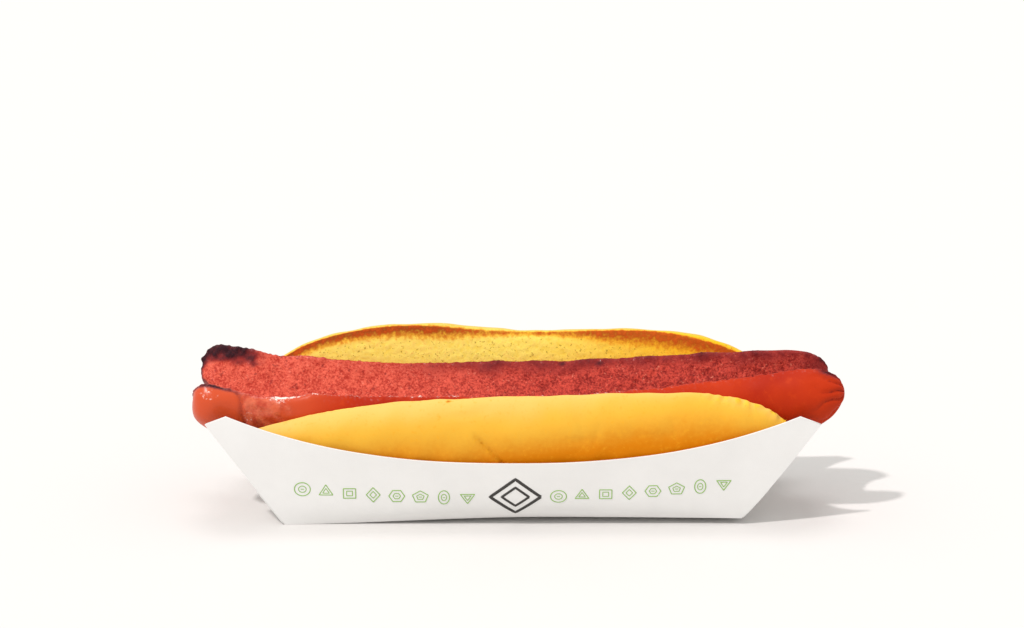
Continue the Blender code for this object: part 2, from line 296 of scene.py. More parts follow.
# ---- tray gussets -------------------------------------------------------
# The four webs of the same board that join side and end walls, folded
# double and laid against the outside of the end walls. The front left one
# has sprung open and stands a little off its wall.
GUSSET_UP = 13.1 * MM
GUSSET_ACROSS = 9.5 * MM
GUSSET_TURN = 0.45  # radians from straight up the wall towards its middle
GUSSET_GAP = 0.28 * MM
GUSSET_RAISED = 0.34 * MM
DOUBLE_BOARD = 0.5 * MM
SPRUNG = 1.3 * MM
CORNER_FLARE = 2.1 * MM  # how far the corner fold leans out over its height
edge_run = np.array([CORNER_HEIGHT * math.tan(END_LEAN), -CORNER_FLARE, CORNER_HEIGHT])
edge_run /= np.linalg.norm(edge_run)
up_the_wall = np.array([math.sin(END_LEAN), 0.0, math.cos(END_LEAN)])
across_run = math.cos(GUSSET_TURN) * up_the_wall + np.array([0.0, math.sin(GUSSET_TURN), 0.0])


def gusset(end, side, spring):
    """Triangle u, v: u runs up from the bottom corner, v from the corner fold across the end wall.

    It stands off the wall by a gap plus spring times u times a power of v.
    """
    u = np.linspace(0.0, 1.0, 12)[:, None, None]
    v = np.linspace(0.0, 1.0, 12)[None, :, None]
    flat = u * ((1.0 - v) * GUSSET_UP * edge_run + v * GUSSET_ACROSS * across_run)
    away = np.array([math.cos(END_LEAN), 0.0, -math.sin(END_LEAN)]) * (GUSSET_GAP + spring * u * v ** 0.8)
    corner = np.array([TRAY_HALF_LENGTH, -TRAY_HALF_WIDTH, 0.0])
    lift = foot_lift(-end * side * TRAY_HALF_LENGTH, flat[..., 2:])
    placed = (corner + flat + away) * np.array([end, -side, 1.0])
    return placed + np.array([0.0, 0.0, 1.0]) * (GUSSET_RAISED + lift)


gussets = surface("tray_gussets", [gusset(-1, -1, SPRUNG), gusset(1, -1, 0.0)[::-1],
                                   gusset(-1, 1, 0.0)[::-1], gusset(1, 1, 0.0)])
layers = gussets.modifiers.new("double_board", "SOLIDIFY")
layers.thickness = DOUBLE_BOARD
layers.offset = 0.0
gussets.data.materials.append(board_finish)
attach(gussets, "root")

# ---- tray print ---------------------------------------------------------
# Water-based ink on the front wall: a shallow arc of small leaf green line
# shapes with one larger near-black shape in the middle. Thin films of ink
# that follow the board.
INK_PROUD = 0.05 * MM
OUTER_LINE, INNER_LINE, BAR_LINE = 0.28 * MM, 0.24 * MM, 0.22 * MM
INNER_SIZE, BAR_SIZE = 0.48, 0.2
FIRST_PLACE = 13.1 * MM
NEXT_PLACE = 6.8 * MM
ARC_REACH = 60 * MM
MIDDLE_WIDTH, MIDDLE_HEIGHT = 14.6 * MM, 12.2 * MM


def stroke(centre_x, centre_z, width, height, sides, turn, line):
    """Ribbon on the front wall along a polygon; its radius is the inner one over cosine within a side."""
    angle = np.linspace(0.0, 2 * math.pi, 97) + turn
    sector = (angle - turn) % (2 * math.pi / sides) - math.pi / sides
    radius = math.cos(math.pi / sides) / np.cos(sector)
    mid = np.stack([radius * np.cos(angle) * width / 2, radius * np.sin(angle) * height / 2], -1)
    along = np.gradient(mid, axis=0)
    along /= np.linalg.norm(along, axis=1, keepdims=True)
    normal = np.stack([along[:, 1], -along[:, 0]], -1) * line / 2
    flat = np.stack([mid - normal, mid + normal]) + np.array([centre_x, centre_z])
    x, z = flat[..., 0], flat[..., 1]
    return on_front_wall(x, z, x) - np.array([0.0, INK_PROUD, 0.0])


def bar(centre_x, centre_z, width, line):
    """Straight level ribbon on the front wall: width long and line high about its centre."""
    x = centre_x + np.linspace(-0.5, 0.5, 97) * width
    z = centre_z + np.array([-0.5, 0.5]) * line
    x, z = np.meshgrid(x, z)
    return on_front_wall(x, z, x) - np.array([0.0, INK_PROUD, 0.0])


# Width and height in millimetres, number of sides (60 makes an oval) and turn of each outline.
OVAL, TRIANGLE = (4.6, 4.2, 60, 0.0), (4.6, 4.4, 3, math.pi / 2)
SQUARE, DIAMOND = (5.0, 4.4, 4, math.pi / 4), (4.0, 4.8, 4, 0.0)
HEXAGON, PENTAGON = (4.6, 4.3, 6, 0.0), (4.8, 4.2, 5, math.pi / 2)
TALL_OVAL, POINT_DOWN = (3.2, 4.6, 60, 0.0), (4.8, 4.4, 3, -math.pi / 2)
KINDS = (OVAL, TRIANGLE, SQUARE, DIAMOND, HEXAGON, PENTAGON, TALL_OVAL, POINT_DOWN)
green, black = [], []
for hand in (-1, 1):
    for place in range(len(KINDS)):
        width, height, sides, turn = KINDS[place if hand > 0 else len(KINDS) - 1 - place]
        x = hand * (FIRST_PLACE + NEXT_PLACE * place)
        out = x / ARC_REACH
        z = (8.7 + 3.4 * out ** 2 + 0.7 * out) * MM
        width, height = width * MM, height * MM
        green.append(stroke(x, z, width, height, sides, turn, OUTER_LINE))
        green.append(stroke(x, z, width * INNER_SIZE, height * INNER_SIZE, sides, turn, INNER_LINE))
        if sides > 4:
            green.append(bar(x, z, width * BAR_SIZE, BAR_LINE))
for size, line in ((1.0, 0.95), (0.54, 0.75)):
    black.append(stroke(0.7 * MM, 8.9 * MM, MIDDLE_WIDTH * size, MIDDLE_HEIGHT * size, 4, 0.0, line * MM))
for name, ribbons, colour in (("tray_print_green", green, (0.29, 0.50, 0.12, 1.0)),
                              ("tray_print_black", black, (0.035, 0.032, 0.028, 1.0))):
    ink = surface(name, ribbons)
    film = ink.modifiers.new("film", "SOLIDIFY")
    film.thickness = 0.03 * MM
    film.offset = 0.0
    ink.data.materials.append(material(name + "_ink", Base_Color=colour, Roughness=0.6))
    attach(ink, "root")

# ---- frankfurter --------------------------------------------------------
# A long frankfurter of finely ground cured meat in its skin, split along
# its length almost to the far side and opened flat on a hot griddle: the
# cut faces are seared and granular, the rims and one end charred.
RADIUS = 11.0 * MM
TO_MIDDLE = 8.5 * MM
FRANK_LEFT = -93.0 * MM
FRANK_RIGHT = 95.8 * MM
LEFT_TIP = 9 * MM
RIGHT_TIP = 14 * MM
RIGHT_TIP_RAISED = 2.6 * MM
TIP_OUT = 0.42  # of the radius, from the middle of a half towards its skin
HALF_COUNT = 55
CUT_WIDTH = 39 * MM
SKIN_WIDTH = 58 * MM


def frank_pose(x):
    """Hinge (y, z) and lean of the front, then the back half, along x.

    The hinge rises by powers of x to both ends. The halves lean 50 and 38 degrees from
    upright and close towards the right tip.
    """
    left = np.clip((-30 * MM - x) / (-30 * MM - FRANK_LEFT), 0.0, None)
    right = np.clip((x - 15 * MM) / (FRANK_RIGHT - 15 * MM), 0.0, None)
    hinge_z = MM * (24.5 + 6.0 * left ** 2 + 2.2 * right ** 1.5)
    back_hinge = np.stack([np.full_like(x, -0.8 * MM), hinge_z], -1)
    front_hinge = back_hinge + np.array([-5.5, 1.6]) * MM * right[..., None] ** 3
    closing = np.clip((x - 5 * MM) / (FRANK_RIGHT - 5 * MM), 0.0, 1.0) ** 1.6
    front = np.radians(50.0 - 30.0 * closing + swell(x, 5.0, -73 * MM, 11 * MM))
    back = np.radians(38.0 - 34.0 * closing + swell(x, 5.0, -32 * MM, 24 * MM))
    return front_hinge, front, back_hinge, back


def even_out(lines, count):
    """Each open line of a stack, re-spaced to count points at even steps of its own running length."""
    steps = np.linalg.norm(np.diff(lines, axis=1), axis=2)
    run = np.concatenate([np.zeros((len(lines), 1)), np.cumsum(steps, axis=1)], axis=1)
    run /= run[:, -1:]
    shift = 2.0 * np.arange(len(lines))[:, None]
    wanted = (np.linspace(0.0, 1.0, count)[None, :] + shift).ravel()
    known = (run + shift).ravel()
    made = [np.interp(wanted, known, lines[..., k].ravel()) for k in range(lines.shape[2])]
    return np.stack(made, -1).reshape(len(lines), count, -1)


def soften(ring, width):
    """Rings smoothed along themselves with a bell of the given width in points."""
    reach = int(3 * width)
    weights = np.exp(-(np.arange(-reach, reach + 1) / width) ** 2)
    weights /= weights.sum()
    return sum(w * np.roll(ring, k, axis=1) for k, w in zip(range(-reach, reach + 1), weights))


def outward(grid):
    """Unit normals of a closed stack of rings, from the two grid directions."""
    around = np.roll(grid, -1, axis=1) - np.roll(grid, 1, axis=1)
    along = np.gradient(grid, axis=0)
    normal = np.cross(along, around)
    return normal / np.maximum(np.linalg.norm(normal, axis=-1, keepdims=True), 1e-12)


def half_frank(hinge, lean, side, count):
    """Straight cut face from hinge to rim, round skin from rim to the lowest point, and the tip's place."""
    run = np.stack([side * np.sin(lean), np.cos(lean)], -1)[:, None, :]
    out = np.stack([side * np.cos(lean), -np.sin(lean)], -1)[:, None, :]
    t = np.linspace(0.0, 1.0, count)[None, :, None]
    hinge = hinge[:, None, :]
    middle = hinge + TO_MIDDLE * run
    angle = t * (math.pi - lean[:, None, None])
    skin = middle + RADIUS * (np.cos(angle) * run + np.sin(angle) * out)
    return hinge + t * (TO_MIDDLE + RADIUS) * run, skin, middle + TIP_OUT * RADIUS * out


def frank_rings(stations, half):
    """Rings of the opened sausage: cut faces rim to rim, then the skin back again.

    Toward each end the rings shrink as a superellipse, blunter at the left, onto a
    point inside each half, so that the ends are two rounded lobes with a crotch
    between them. Near the left end a wider smoothing rolls the front rim over.
    """
    s = np.sin(np.linspace(-math.pi / 2, math.pi / 2, stations))
    x = 0.5 * (FRANK_LEFT + FRANK_RIGHT) + 0.5 * (FRANK_RIGHT - FRANK_LEFT) * s
    front_hinge, front, back_hinge, back = frank_pose(x)
    cut_f, skin_f, heart_f = half_frank(front_hinge, front, -1, 60)
    cut_b, skin_b, heart_b = half_frank(back_hinge, back, 1, 60)
    top = even_out(np.concatenate([cut_f[:, ::-1], cut_b], 1), 2 * half - 1)
    under = even_out(np.concatenate([skin_f, skin_b[:, ::-1]], 1), 2 * half - 1)
    place = (np.arange(2 * half - 1) - (half - 1)) / (half - 1)
    inside = 0.5 * (top + under)
    heart = np.where(place[None, :, None] < 0, heart_f, heart_b)
    heart = heart + np.array([0.0, RIGHT_TIP_RAISED]) * (s > 0)[:, None, None]
    of_tip = ramp(np.abs(place), 0.0, 0.5)[None, :, None]
    to_tip = np.minimum((x - FRANK_LEFT) / LEFT_TIP, (FRANK_RIGHT - x) / RIGHT_TIP)
    blunt = np.where(s[:, None] < 0, 3.0, 2.0 + 0.3 * ramp(place, -0.2, 0.2)[None, :])
    full = np.clip(1.0 - np.clip(1.0 - to_tip[:, None], 0.0, 1.0) ** blunt, 0.0, 1.0) ** (1.0 / blunt)
    full = full[..., None]
    spine = inside + ((heart + (inside - heart) * full) - inside) * of_tip
    crotch = np.where(s < 0, 6 * MM, 4.5 * MM)[:, None]
    shorter = np.where(s < 0, 1.2 * MM, 3.0 * MM)[:, None]
    pulled_in = crotch * (1 - of_tip[..., 0]) + shorter * of_tip[..., 0] * ramp(place, -0.2, 0.2)[None, :]
    ring_x = x[:, None] - s[:, None] * pulled_in

    def loop(line):
        """A value along the cut faces, and the same again back along the skin."""
        return np.concatenate([line, line[:, -2:0:-1]], 1)

    ring = np.concatenate([top, under[:, -2:0:-1]], 1)
    rolled = ramp(x, -56 * MM, -64 * MM)[:, None, None] * ramp(-loop(place[None, :]), 0.3, 0.6)[..., None]
    ring = soften(ring, 2.2) * (1 - rolled) + soften(ring, 8.0) * rolled
    ring = loop(spine) + (ring - loop(inside)) * loop(full)
    grid = np.concatenate([loop(ring_x)[..., None], ring], -1)
    return grid, loop(full)[..., 0], place


# rim_gap is the way from the nearest rim: positive on the cut faces, negative on the skin.
frank_grid, frank_full, frank_place = frank_rings(440, HALF_COUNT)
count = 2 * HALF_COUNT - 1
index = np.arange(frank_grid.shape[1])[None, :]
lateral = np.concatenate([frank_place, frank_place[-2:0:-1]])[None, :]
over_cut = np.minimum(index, count - 1 - index) * CUT_WIDTH / count
over_skin = np.minimum(index - (count - 1), len(index[0]) - index) * SKIN_WIDTH / count
X = frank_grid[..., 0]
rim_gap = np.where(index < count, over_cut, -over_skin) * np.ones_like(X)
cut = ramp(rim_gap, -0.6 * MM, 0.9 * MM)
is_front = ramp(-lateral, -0.1, 0.1) * np.ones_like(X)
is_back = 1.0 - is_front
fade = ramp(frank_full, 0.0, 0.25)
skin_side = 1 - cut

# Unevenness of the meat, from the widest lumps to the finest grain.
lumps = ripple(frank_grid, 9 * MM, 13)
coarse = ripple(frank_grid, 3.4 * MM, 15)
frayed = 0.9 * MM * ripple(frank_grid, 3.4 * MM, 16)
fine = ripple(frank_grid, 1.5 * MM, 11)
finer = ripple(frank_grid, 0.9 * MM, 12)

# Left front: a swollen knob, a crease behind it and a torn patch of skin after the crease.
knob = swell(X, 1.0, -86.5 * MM, 5.5 * MM) * is_front
seam = X + 0.22 * (frank_grid[..., 2] - 34 * MM) + 0.5 * MM * lumps
crease = swell(seam, 1.0, -78.4 * MM, 0.8 * MM) * is_front * skin_side
torn = ramp(seam, -78.6 * MM, -77 * MM) * ramp(X + 2.2 * MM * coarse, -62 * MM, -70 * MM)
torn *= is_front * skin_side * ramp(rim_gap + 1.2 * MM * lumps, -13 * MM, -9 * MM)
smooth_rim = is_front * swell(X, 1.0, -67 * MM, 7 * MM)

# Left back: a burnt cap over the rim. Right: puckers where the skin was tied off.
cap = is_back * ramp(X + frayed, -70 * MM, -81 * MM) * ramp(rim_gap, -7 * MM, -2 * MM)
cap *= ramp(rim_gap + 0.5 * frayed, 7.5 * MM, 2.5 * MM)
tip_right = ramp(X, 84 * MM, 93 * MM)
pleats = np.abs(np.sin(index * math.pi / 7.0 + 1.5 * lumps))

# Relief in millimetres along the normal: grain, rim, knob, crease, tear, two dips, cap, tip.
relief = cut * (0.05 * fine + 0.03 * finer + 0.10 * coarse + 0.12 * lumps) + skin_side * 0.16 * lumps
rough_rim = swell(rim_gap, 1.0, 0.4 * MM, 0.9 * MM) * (1 - smooth_rim)
relief += rough_rim * (0.07 * fine + 0.05 * finer + 0.08 * coarse)
relief += 0.9 * knob * ramp(rim_gap, -1 * MM, -6 * MM) * ramp(rim_gap, -20 * MM, -10 * MM)
relief -= 0.7 * crease
relief += torn * (0.08 * fine + 0.15 * coarse) * ramp(rim_gap, -2 * MM, -4 * MM)
relief -= is_front * swell(X, 0.7, -73.0 * MM, 5.5 * MM) * ramp(rim_gap, 4 * MM, -1 * MM)
back_rim = is_back * ramp(rim_gap, 6 * MM, 1 * MM) * ramp(rim_gap, -8 * MM, -2 * MM)
relief -= back_rim * swell(X, 0.9, -70 * MM, 5 * MM)
relief += cap * (0.25 + 0.05 * fine + 0.10 * coarse)
relief += swell(X, 0.35, 84 * MM, 8 * MM) * ramp(rim_gap, -2 * MM, -10 * MM)
relief -= tip_right * skin_side * 0.75 * (1 - pleats) ** 1.5
frank_grid = frank_grid + outward(frank_grid) * (relief * fade * MM)[..., None]

# Char and painted shade, the strongest of: the cap, the knob's rim, a band under the back rim, the right
# end, two burn spots, painted shade in the crease and the pucker hollows, the back left end, the right rims,
# a thin front rim.
band_reach = MM * (9.0 - 3.0 * ramp(X, 10 * MM, 40 * MM) + 1.0 * lumps)
band = is_back * ramp(rim_gap, band_reach, -0.5 * MM) * ramp(rim_gap, -6 * MM, -1 * MM)
band *= (0.16 + 0.34 * ramp(X, -45 * MM, -8 * MM)) * ramp(X, -74 * MM, -55 * MM)
char_and_shade_parts = [cap * (0.92 + 0.05 * fine + 0.10 * coarse),
           0.9 * knob ** 0.5 * swell(rim_gap, 1.0, 0.2 * MM, 1.3 * MM),
           band * (1.0 + 0.12 * lumps + 0.10 * coarse + 0.08 * fine),
           is_back * 0.42 * cut * ramp(X, 76 * MM, 90 * MM),
           is_back * swell(X, 0.8, 14.5 * MM, 1.6 * MM) * swell(rim_gap, 1.0, 1.2 * MM, 1.5 * MM),
           is_back * swell(X, 0.8, 25.5 * MM, 2.0 * MM) * swell(rim_gap, 1.0, 1.6 * MM, 1.3 * MM),
           # painted shade: the crease and the hollows between the puckers are drawn dark
           0.30 * crease,
           0.40 * tip_right * skin_side * (1 - pleats) ** 3,
           0.55 * is_back * ramp(X, -80 * MM, -88 * MM) * ramp(frank_full, 0.75, 0.35),
           0.8 * swell(X, 1.0, 91 * MM, 4 * MM) * swell(rim_gap, 1.0, 0.0, 2.5 * MM),
           is_front * swell(rim_gap, 0.35, 0.0, 0.7 * MM) * ramp(fine, 0.0, 1.0)]
char = np.clip(np.max(char_and_shade_parts, axis=0), 0.0, 1.0)

# Painted highlight: pale flecks of shine in the colour, a pool on the left front rim, a little on the knob
# and on the torn patch, and beads all along the front rim.
fat = swell(X, 0.66, -67 * MM, 3.4 * MM) * swell(rim_gap, 1.0, -0.6 * MM, 2.6 * MM)
fat += swell(X, 0.52, -88 * MM, 3.6 * MM) * swell(rim_gap, 1.0, -3.4 * MM, 2.4 * MM)
fat += swell(X, 0.46, -76 * MM, 3.5 * MM) * swell(rim_gap, 1.0, -7.5 * MM, 2.2 * MM)
beads = 0.44 + 0.30 * ramp(ripple(frank_grid, 1.9 * MM, 17), -0.4, 1.2)
beads *= ramp(X, 70 * MM, 10 * MM) * ramp(X, -80 * MM, -60 * MM)
fat += swell(rim_gap, 1.0, 0.4 * MM, 0.8 * MM) * beads

frankfurter = surface("frankfurter", [frank_grid], wrap=True,
                      marks={"cut": cut, "char": char, "torn": torn, "rim": rim_gap / (10 * MM) + 0.5,
                             "fat": np.clip(is_front * fat, 0.0, 1.0)})

meat, given, result = effect(
    "seared_meat",
    {"Place": "Vector", "Cut": "Float", "Char": "Float", "Torn": "Float", "Rim": "Float", "Fat": "Float"},
    {"Colour": "Color", "Roughness": "Float", "Coat": "Float", "Height": "Float"})
where, on_cut, rim = given.outputs["Place"], given.outputs["Cut"], given.outputs["Rim"]
is_torn, shine_mask = given.outputs["Torn"], given.outputs["Fat"]
speck = grain(meat, where, 0.65 * MM, 4.0, 0.7)
pit = grain(meat, where, 1.2 * MM, 3.0, 0.7, 7.0)
fleck = grain(meat, where, 0.9 * MM, 3.0, 0.7, 9.0)
spot = grain(meat, where, 2.6 * MM, 3.0, 0.6, 3.0)
broad = grain(meat, where, 17 * MM, 2.0, 0.5, 5.0)
along = node(meat, "ShaderNodeSeparateXYZ", {0: where}).outputs[0]
side_to_side = between(meat, along, -60 * MM, 20 * MM)
left_end = between(meat, along, -45 * MM, -70 * MM)
crumbly = maths(meat, "MULTIPLY_ADD", spot, 0.30, maths(meat, "MULTIPLY", speck, 0.70))
ground = blend(meat, between(meat, crumbly, 0.39, 0.61), (0.42, 0.029, 0.016, 1), (0.77, 0.134, 0.080, 1))
deeper = blend(meat, between(meat, crumbly, 0.38, 0.62), (0.18, 0.008, 0.008, 1), (0.64, 0.068, 0.045, 1))
ground = blend(meat, maths(meat, "MULTIPLY", side_to_side, 0.85), ground, deeper)
ground = blend(meat, between(meat, pit, 0.58, 0.66, 0.0, 0.55), ground, (0.16, 0.008, 0.010, 1))
ground = blend(meat, between(meat, fleck, 0.59, 0.68, 0.0, 0.55), ground, (0.86, 0.26, 0.17, 1))
skin = blend(meat, between(meat, broad, 0.35, 0.7), (0.47, 0.030, 0.003, 1), (0.37, 0.016, 0.002, 1))
skin = blend(meat, between(meat, spot, 0.5, 0.8, 0.0, 0.35), skin, (0.62, 0.06, 0.006, 1))
skin = blend(meat, maths(meat, "MULTIPLY", left_end, 0.75), skin, (0.62, 0.080, 0.018, 1))
raw = blend(meat, between(meat, spot, 0.35, 0.65), (0.52, 0.050, 0.016, 1), (0.70, 0.135, 0.060, 1))
colour = blend(meat, on_cut, skin, ground)
colour = blend(meat, is_torn, colour, raw)
ragged = maths(meat, "MULTIPLY_ADD", maths(meat, "SUBTRACT", crumbly, 0.5), 0.9, given.outputs["Char"])
burnt_and_shaded = between(meat, ragged, 0.40, 1.0)
# Char darkens the colour, and so does the painted shade of the crease and the puckers.
colour = blend(meat, between(meat, ragged, 0.08, 0.60, 0.0, 0.92), colour, (0.205, 0.016, 0.017, 1))
colour = blend(meat, burnt_and_shaded, colour, (0.030, 0.006, 0.010, 1))
# Painted highlight: where the shine mask is high the colour goes pale pink white.
shine_share = maths(meat, "MULTIPLY_ADD", maths(meat, "SUBTRACT", fleck, 0.5), 2.1, shine_mask)
shine_share = maths(meat, "MULTIPLY", between(meat, shine_share, 0.45, 0.95), between(meat, shine_mask, 0.05, 0.30))
colour = blend(meat, shine_share, colour, (0.95, 0.76, 0.68, 1))
meat.links.new(colour, result.inputs["Colour"])
meat.links.new(maths(meat, "MULTIPLY_ADD", speck, 0.15, 0.48), result.inputs["Roughness"])
edge = maths(meat, "MULTIPLY", between(meat, rim, 0.10, 0.40), between(meat, rim, 0.66, 0.54))
wet = maths(meat, "MAXIMUM", between(meat, fleck, 0.52, 0.64), maths(meat, "MULTIPLY", left_end, 0.75))
wet = maths(meat, "MULTIPLY", wet, between(meat, along, 35 * MM, 60 * MM, 1.0, 0.3))
juice = maths(meat, "MAXIMUM", maths(meat, "MULTIPLY", edge, wet), maths(meat, "MULTIPLY", is_torn, wet))
moist_end = maths(meat, "MULTIPLY", left_end, maths(meat, "MULTIPLY_ADD", on_cut, -0.45, 0.5))
juice = maths(meat, "MAXIMUM", juice, moist_end)
meat.links.new(maths(meat, "MULTIPLY", juice, maths(meat, "SUBTRACT", 1.0, burnt_and_shaded)), result.inputs["Coat"])
rough_height = maths(meat, "MULTIPLY", maths(meat, "MAXIMUM", on_cut, is_torn), crumbly)
meat.links.new(maths(meat, "MULTIPLY_ADD", spot, 0.15, rough_height), result.inputs["Height"])
frankfurter.data.materials.append(material("seared_frankfurter", meat, ["cut", "char", "torn", "rim", "fat"],
                                           bump=0.45 * MM, IOR=1.4, Specular_IOR_Level=0.15,
                                           Coat_Roughness=0.27, Coat_IOR=1.45))
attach(frankfurter, "root")
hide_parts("frankfurter")

# ---- bun ----------------------------------------------------------------
# A soft enriched wheat roll, hinge cut from the top and pulled open by the
# sausage. Thin golden crust outside; yellow crumb inside, buttered and
# toasted red-brown along the cut's upper edge.
BUN_MIDDLE = 2.5 * MM
BUN_HALF_LENGTH = 76 * MM
BUN_HALF_WIDTH = 26.2 * MM
BUN_BASE = 0.85 * MM
BUN_WIDEST = 24 * MM
BUN_POWER = 2.6
BUN_COUNT = 120
LIP = 5.0 * MM
FRONT_LIP_Y, BACK_LIP_Y = -20.2 * MM, 22.8 * MM
END_TUCK = 24 * MM  # how far the underside of each end is drawn in
TUCK_BELOW = 22 * MM


def bun_lips(s):
    """Heights of the front and back lips: level in the middle, falling by high powers to both ends."""
    left, right = np.clip(-s, 0.0, 1.0), np.clip(s, 0.0, 1.0)
    front = MM * (38.7 + 2.2 * s - 7.9 * left ** 3.5 - 9.6 * right ** 7)
    back = 46.5 + swell(s, 2.2, -0.45, 0.27) + swell(s, 0.7, 0.5, 0.3) + swell(s, 3.0, 0.98, 0.07)
    back = MM * (back - 12.5 * left ** 6.5 - 15.7 * right ** 6.2)
    return front, back


def outer_arm(lip_y, lip_z, half_width, side, count):
    """Outside of one half: a superellipse from just under the lip to the base."""
    start_y = np.abs(lip_y) + 0.35 * LIP
    start_z = lip_z - 0.35 * LIP
    share = (start_y / half_width) ** BUN_POWER
    rise = (start_z - BUN_WIDEST) / (1.0 - share) ** (1.0 / BUN_POWER)
    first = np.arcsin(np.sqrt(share))[:, None]
    angle = first + (math.pi - first) * np.linspace(0.0, 1.0, count)[None, :]
    cosine = np.sign(np.cos(angle)) * np.abs(np.cos(angle)) ** (2.0 / BUN_POWER)
    height = np.where(cosine > 0.0, rise[:, None], BUN_WIDEST - BUN_BASE)
    y = side * half_width[:, None] * np.abs(np.sin(angle)) ** (2.0 / BUN_POWER)
    return np.stack([y, BUN_WIDEST + height * cosine], -1)


def inner_arm(lip_y, lip_z, middle, side, count):
    """Cut face of one half: a tangent from the lip to a circle just wider than the sausage, then that."""
    radius = RADIUS + 0.4 * MM
    start = np.stack([lip_y - side * 0.5 * LIP, lip_z - 0.45 * LIP], -1)
    apart = start - middle
    distance = np.maximum(np.linalg.norm(apart, axis=1), radius * 1.001)
    touch = np.arctan2(apart[:, 1], apart[:, 0] * side) - np.arccos(radius / distance)
    angle = touch[:, None] + (-math.pi / 2 - touch[:, None]) * np.linspace(0.0, 1.0, count)[None, :]
    arc = middle[:, None, :] + radius * np.stack([side * np.cos(angle), np.sin(angle)], -1)
    return np.concatenate([start[:, None, :], arc], 1)


def bun_rings(stations, count):
    """V-shaped rings along the roll, shrinking by a fifth power to a rounded edge at each end."""
    s = np.sin(np.linspace(-math.pi / 2, math.pi / 2, stations))
    x = BUN_MIDDLE + BUN_HALF_LENGTH * s
    front_z, back_z = bun_lips(s)
    front_hinge, front, back_hinge, back = frank_pose(x)
    middle_f = front_hinge + TO_MIDDLE * np.stack([-np.sin(front), np.cos(front)], -1)
    middle_b = back_hinge + TO_MIDDLE * np.stack([np.sin(back), np.cos(back)], -1)
    taper = 1.0 - 0.08 * s * s
    lip_f, lip_b = np.full_like(s, FRONT_LIP_Y), BACK_LIP_Y * taper
    tops = np.stack([lip_f, front_z], -1)[:, None, :], np.stack([lip_b, back_z], -1)[:, None, :]
    wide = BUN_HALF_WIDTH * taper
    outer = np.concatenate([tops[0], outer_arm(lip_f, front_z, wide, -1, 60),
                            outer_arm(lip_b, back_z, wide, 1, 60)[:, ::-1], tops[1]], 1)
    inner = np.concatenate([tops[0], inner_arm(lip_f, front_z, middle_f, -1, 40),
                            inner_arm(lip_b, back_z, middle_b, 1, 40)[:, ::-1], tops[1]], 1)
    outer, inner = even_out(outer, count), even_out(inner, count)
    inside = 0.5 * (outer + inner)
    full = ((1.0 - np.abs(s) ** 5) ** 0.2)[:, None, None]
    ring = soften(np.concatenate([inner, outer[:, -2:0:-1]], 1), 2.6)
    centre = np.concatenate([inside, inside[:, -2:0:-1]], 1)
    ring = centre + (ring - centre) * full
    low = np.clip(1.0 - ring[..., 1] / TUCK_BELOW, 0.0, None)
    ring_x = x[:, None] - s[:, None] * END_TUCK * low ** 1.1
    return np.concatenate([ring_x[..., None], ring], -1), full[..., 0]


# lip_gap is the way from the nearest lip: positive on the cut, negative on the crust.
bun_grid, bun_full = bun_rings(360, BUN_COUNT)
X, Z = bun_grid[..., 0], bun_grid[..., 2]
last = BUN_COUNT - 1
index = np.arange(bun_grid.shape[1])[None, :]
across_bun = np.linspace(-1, 1, BUN_COUNT)
across_bun = np.concatenate([across_bun, across_bun[-2:0:-1]])[None, :]
over_crumb = np.minimum(index, last - index) * 0.62 * MM
over_crust = np.minimum(index - last, 2 * last - index) * 1.02 * MM
lip_gap = np.where(index < BUN_COUNT, over_crumb, -over_crust) * np.ones_like(X)
crumb = ramp(lip_gap, 0.6 * MM, 1.8 * MM)
front_side = ramp(-across_bun, -0.05, 0.05) * np.ones_like(X)
fade = ramp(bun_full, 0.0, 0.35)
broad = ripple(bun_grid, 30 * MM, 21)
small = ripple(bun_grid, 2.2 * MM, 22)
front_crust = front_side * (1 - crumb)
relief = (1 - crumb) * (0.35 * broad + 0.12 * ripple(bun_grid, 9 * MM, 23)) + crumb * 0.07 * small

# One slanting split in the middle of the front, in millimetres deep like all relief here.
fold = 0.75 * (X + 10.6 * MM + 0.9 * (Z - 27.5 * MM))
split = front_crust * swell(fold, 1.0, 0.0, 0.45 * MM) * ramp(Z, 29.5 * MM, 26.5 * MM)
relief -= 0.8 * split
# Upright folds: place along x, tilt, depth and height of the middle.
for centre, tilt, depth, reach in ((19.5, 0.25, 0.25, 30), (24.5, -0.3, 0.2, 28), (46.0, 0.35, 0.25, 29),
                                   (69.5, 0.2, 0.3, 37), (74.0, 0.25, 0.3, 36)):
    fold = X - centre * MM + tilt * (Z - 30 * MM)
    relief -= front_crust * swell(fold, depth, 0.0, 0.7 * MM) * swell(Z, 1.0, reach * MM, 4 * MM)
# Level folds: middle along x, height and half length.
for centre, level, reach in ((-14.0, 33.4, 4.5), (-9.5, 34.9, 5.0), (18.0, 26.5, 3.5), (35.0, 27.5, 9.0)):
    fold = Z - level * MM - 0.06 * (X - centre * MM)
    relief -= front_crust * swell(X, 0.28, centre * MM, reach * MM) * swell(fold, 1.0, 0.0, 0.4 * MM)
# Crumb breaks through along the right end of the front lip.
ragged = ramp(X, 52 * MM, 58 * MM) * front_side * swell(lip_gap, 1.0, -1.0 * MM, 1.8 * MM)
crumb = np.maximum(crumb, ragged * ramp(ripple(bun_grid, 2.6 * MM, 25), -0.2, 0.6) * 0.8)
relief += ragged * 0.35 * ripple(bun_grid, 3.0 * MM, 24)
bun_grid = bun_grid + outward(bun_grid) * (relief * fade * MM)[..., None]

